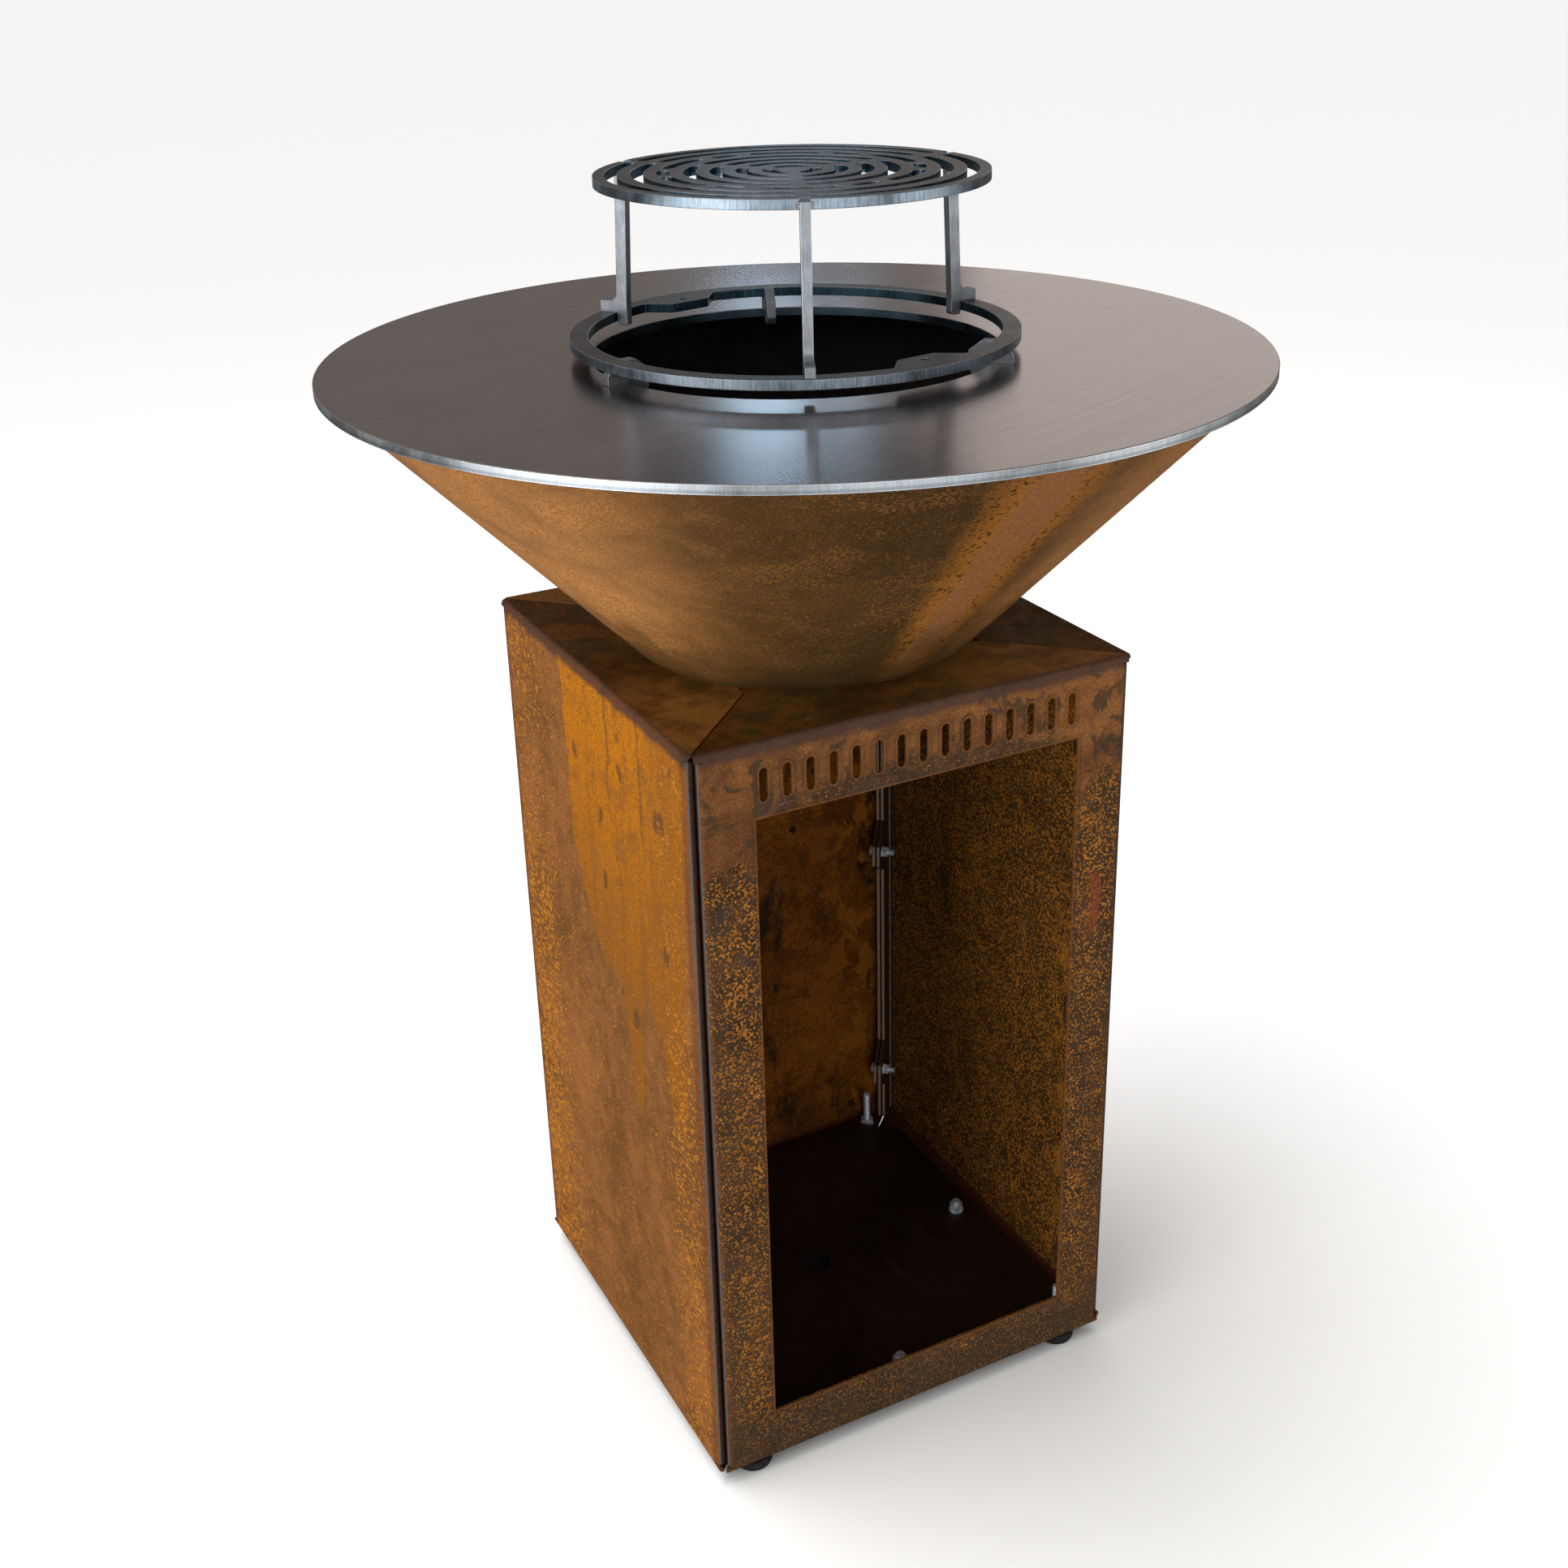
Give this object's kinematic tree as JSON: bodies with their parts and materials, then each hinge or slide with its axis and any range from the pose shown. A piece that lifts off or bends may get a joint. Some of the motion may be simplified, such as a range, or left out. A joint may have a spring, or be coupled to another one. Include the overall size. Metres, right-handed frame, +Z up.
{
  "type": "fire pit with grate",
  "caption": "Square log-store pedestal of folded weathering steel under a conical fire bowl, with a round steel cooking plate and a lift-off ring carrying a raised round grate.",
  "frame": {"origin": "on the ground under the centre of the pedestal", "axes": "+Z up; the open front of the log store faces -Y, +X to the right as one faces that front"},
  "size_m": [0.7999, 0.8, 1.132],
  "materials": {
    "weathering_steel": "weathered orange-brown rust patina",
    "plate_steel": "satin ground hot-rolled steel",
    "grate_steel": "bare laser-cut steel",
    "zinc_fasteners": "bright zinc plate",
    "foot_plastic": "moulded black plastic"
  },
  "bodies": {
    "pedestal": {"panel_front": "weathering_steel", "panel_back": "weathering_steel", "panel_left": "weathering_steel", "panel_right": "weathering_steel", "floor_plate": "weathering_steel", "corner_spacers": "zinc_fasteners", "corner_washers": "zinc_fasteners", "corner_bolts": "zinc_fasteners", "corner_nuts": "zinc_fasteners", "floor_bolts": "zinc_fasteners", "floor_washers": "zinc_fasteners", "floor_nuts": "zinc_fasteners", "foot_washers": "zinc_fasteners", "foot_lock_nuts": "zinc_fasteners", "bowl_cone": "weathering_steel", "bowl_base": "weathering_steel", "bowl_bolts": "zinc_fasteners", "bowl_nuts": "zinc_fasteners"},
    "foot_front_left": {"foot_pad_front_left": "foot_plastic", "foot_stud_front_left": "zinc_fasteners"},
    "foot_front_right": {"foot_pad_front_right": "foot_plastic", "foot_stud_front_right": "zinc_fasteners"},
    "foot_back_left": {"foot_pad_back_left": "foot_plastic", "foot_stud_back_left": "zinc_fasteners"},
    "foot_back_right": {"foot_pad_back_right": "foot_plastic", "foot_stud_back_right": "zinc_fasteners"},
    "plate": {"cooking_plate": "plate_steel", "plate_lugs": "plate_steel"},
    "ring": {"support_ring": "grate_steel", "ring_support_back": "grate_steel", "ring_support_left": "grate_steel", "ring_support_right": "grate_steel"},
    "grate": {"grate_disc": "grate_steel", "grate_leg_front": "grate_steel", "grate_leg_left": "grate_steel", "grate_leg_right": "grate_steel"}
  },
  "joints": [
    {"name": "plate_lift", "type": "slide", "parent": "pedestal", "child": "plate", "axis": [0, 0, 1], "range_m": [0, 0.3]},
    {"name": "ring_lift", "type": "slide", "parent": "plate", "child": "ring", "axis": [0, 0, 1], "range_m": [0, 0.2]},
    {"name": "grate_lift", "type": "slide", "parent": "ring", "child": "grate", "axis": [0, 0, 1], "range_m": [0, 0.2]},
    {"name": "foot_front_left_level", "type": "slide", "parent": "pedestal", "child": "foot_front_left", "axis": [0, 0, -1], "range_m": [0, 0.015]},
    {"name": "foot_front_right_level", "type": "slide", "parent": "pedestal", "child": "foot_front_right", "axis": [0, 0, -1], "range_m": [0, 0.015]},
    {"name": "foot_back_left_level", "type": "slide", "parent": "pedestal", "child": "foot_back_left", "axis": [0, 0, -1], "range_m": [0, 0.015]},
    {"name": "foot_back_right_level", "type": "slide", "parent": "pedestal", "child": "foot_back_right", "axis": [0, 0, -1], "range_m": [0, 0.015]}
  ]
}
